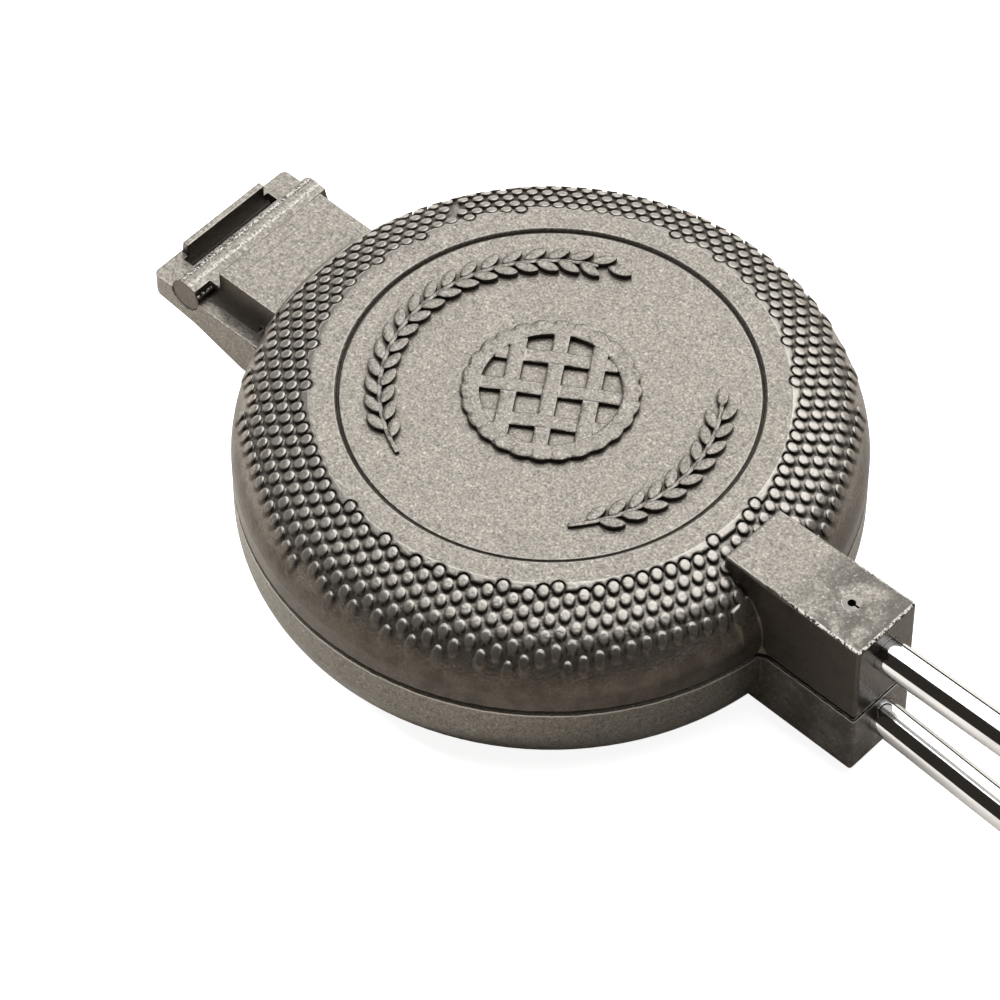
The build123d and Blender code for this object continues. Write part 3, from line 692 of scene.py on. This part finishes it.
def stretched_noise(tree, place, per_metre, scale, turn=(0, 0, 0)):
    """A noise drawn out along X, by having fewer lumps per metre that way."""
    stretch = add(tree, "ShaderNodeMapping")
    feed(tree, place, stretch.inputs["Vector"])
    stretch.inputs["Scale"].default_value = per_metre
    stretch.inputs["Rotation"].default_value = turn
    noise = add(tree, "ShaderNodeTexNoise", Scale=scale, Detail=2.0)
    feed(tree, stretch.outputs[0], noise.inputs["Vector"])
    return noise.outputs[0]


def make_metal_scuffs():
    """Fine scratches along X and clouds of haze, and how rough they leave a polished metal."""
    group, source, result = new_group(
        "metal_scuffs",
        [("Place", VECTOR, None), ("Polish", NUMBER, 0.05), ("Scratches", NUMBER, 0.05),
         ("Haze", NUMBER, 0.05)],
        [("Roughness", NUMBER), ("Height", NUMBER), ("Clouds", NUMBER)])
    place = source.outputs["Place"]
    scratch = stretched_noise(group, place, SCRATCHES, scale=1.0)
    cloud = add(group, "ShaderNodeTexNoise", Scale=140.0, Detail=3.0)
    feed(group, place, cloud.inputs["Vector"])
    hazy = times(group, remap(group, cloud.outputs[0], 0.42, 0.7), source.outputs["Haze"])
    scratched = line(group, remap(group, scratch, 0.45, 0.75), source.outputs["Scratches"],
                     source.outputs["Polish"])
    feed(group, maths(group, "ADD", scratched, hazy), result.inputs["Roughness"])
    feed(group, scratch, result.inputs["Height"])
    feed(group, remap(group, cloud.outputs[0], 0.4, 0.75), result.inputs["Clouds"])
    return group


metal_scuffs = make_metal_scuffs()
print("node group:", metal_scuffs.name)

# %% Bright metals
def make_bright_metal(name, colour, polish, scratches, haze, depth):
    material, tree, surface = new_material(name)
    place = add(tree, "ShaderNodeTexCoord").outputs["Object"]
    scuffs = place_group(tree, metal_scuffs, Place=place, Polish=polish, Scratches=scratches,
                         Haze=haze).outputs
    feed(tree, scuffs["Roughness"], surface.inputs["Roughness"])
    feed(tree, blend(tree, scuffs["Clouds"], shade(colour), shade(colour, 0.86)),
         surface.inputs["Base Color"])
    surface.inputs["Metallic"].default_value = 1.0
    bump = add(tree, "ShaderNodeBump", Strength=0.25, Distance=depth)
    feed(tree, scuffs["Height"], bump.inputs["Height"])
    feed(tree, bump.outputs[0], surface.inputs["Normal"])
    return material


chrome = make_bright_metal("bright_chrome", (0.86, 0.87, 0.88), polish=0.045,
                           scratches=0.05, haze=0.05, depth=0.004 * MM)
pin_steel = make_bright_metal("spring_steel", (0.26, 0.25, 0.23), polish=0.36,
                              scratches=0.1, haze=0.12, depth=0.01 * MM)
zinc_wire = make_bright_metal("zinc_wire", (0.72, 0.73, 0.74), polish=0.22,
                              scratches=0.1, haze=0.12, depth=0.01 * MM)
for half in ("upper", "lower"):
    dress(f"{half}_rod", chrome)
    dress(f"{half}_ferrule", chrome)
    dress(f"{half}_spring_pin", pin_steel)
    dress(f"{half}_grip_nail", pin_steel)
dress("latch_hook", zinc_wire)
print("bright metals: chrome, spring steel and zinc")

# %% [markdown]
# ## Turned wood
# The grips are turned from a straight-grained hardwood and lacquered. On a turned piece the year
# rings show as long lines that open into loops where the turning cuts across them. That comes by
# itself when the ring pattern is computed in space and stretched along the grip, so the material
# does that instead of wrapping a flat picture of wood round the grip.

# %% Wood material
TRUNK, PORES = (4.0, 60, 60), (160, 2600, 2600)     # per metre, along the grip and across it


def make_turned_wood(name, early=(0.52, 0.29, 0.125), late=(0.30, 0.135, 0.048),
                     pore=(0.16, 0.065, 0.025), year_rings=11.0):
    material, tree, surface = new_material(name)
    place = add(tree, "ShaderNodeTexCoord").outputs["Object"]
    trunk = stretched_noise(tree, place, TRUNK, scale=1.4, turn=(0, 0.03, 0.02))
    rings = remap(tree, maths(tree, "FRACT", times(tree, trunk, year_rings)), 0.25, 0.95)
    pores = remap(tree, stretched_noise(tree, place, PORES, scale=1.0), 0.56, 0.72)
    wood = blend(tree, times(tree, rings, 0.55), shade(early), shade(late))
    wood = blend(tree, times(tree, pores, 0.45), wood, shade(pore))
    feed(tree, wood, surface.inputs["Base Color"])
    feed(tree, line(tree, rings, 0.08, 0.34), surface.inputs["Roughness"])
    surface.inputs["Coat Weight"].default_value = 0.5
    surface.inputs["Coat Roughness"].default_value = 0.16
    bump = add(tree, "ShaderNodeBump", Strength=0.3, Distance=0.03 * MM)
    feed(tree, maths(tree, "SUBTRACT", rings, pores), bump.inputs["Height"])
    feed(tree, bump.outputs[0], surface.inputs["Normal"])
    return material


turned_wood = make_turned_wood("turned_wood")
for name in ("upper_grip", "lower_grip"):
    dress(name, turned_wood)
print("wood on both grips")
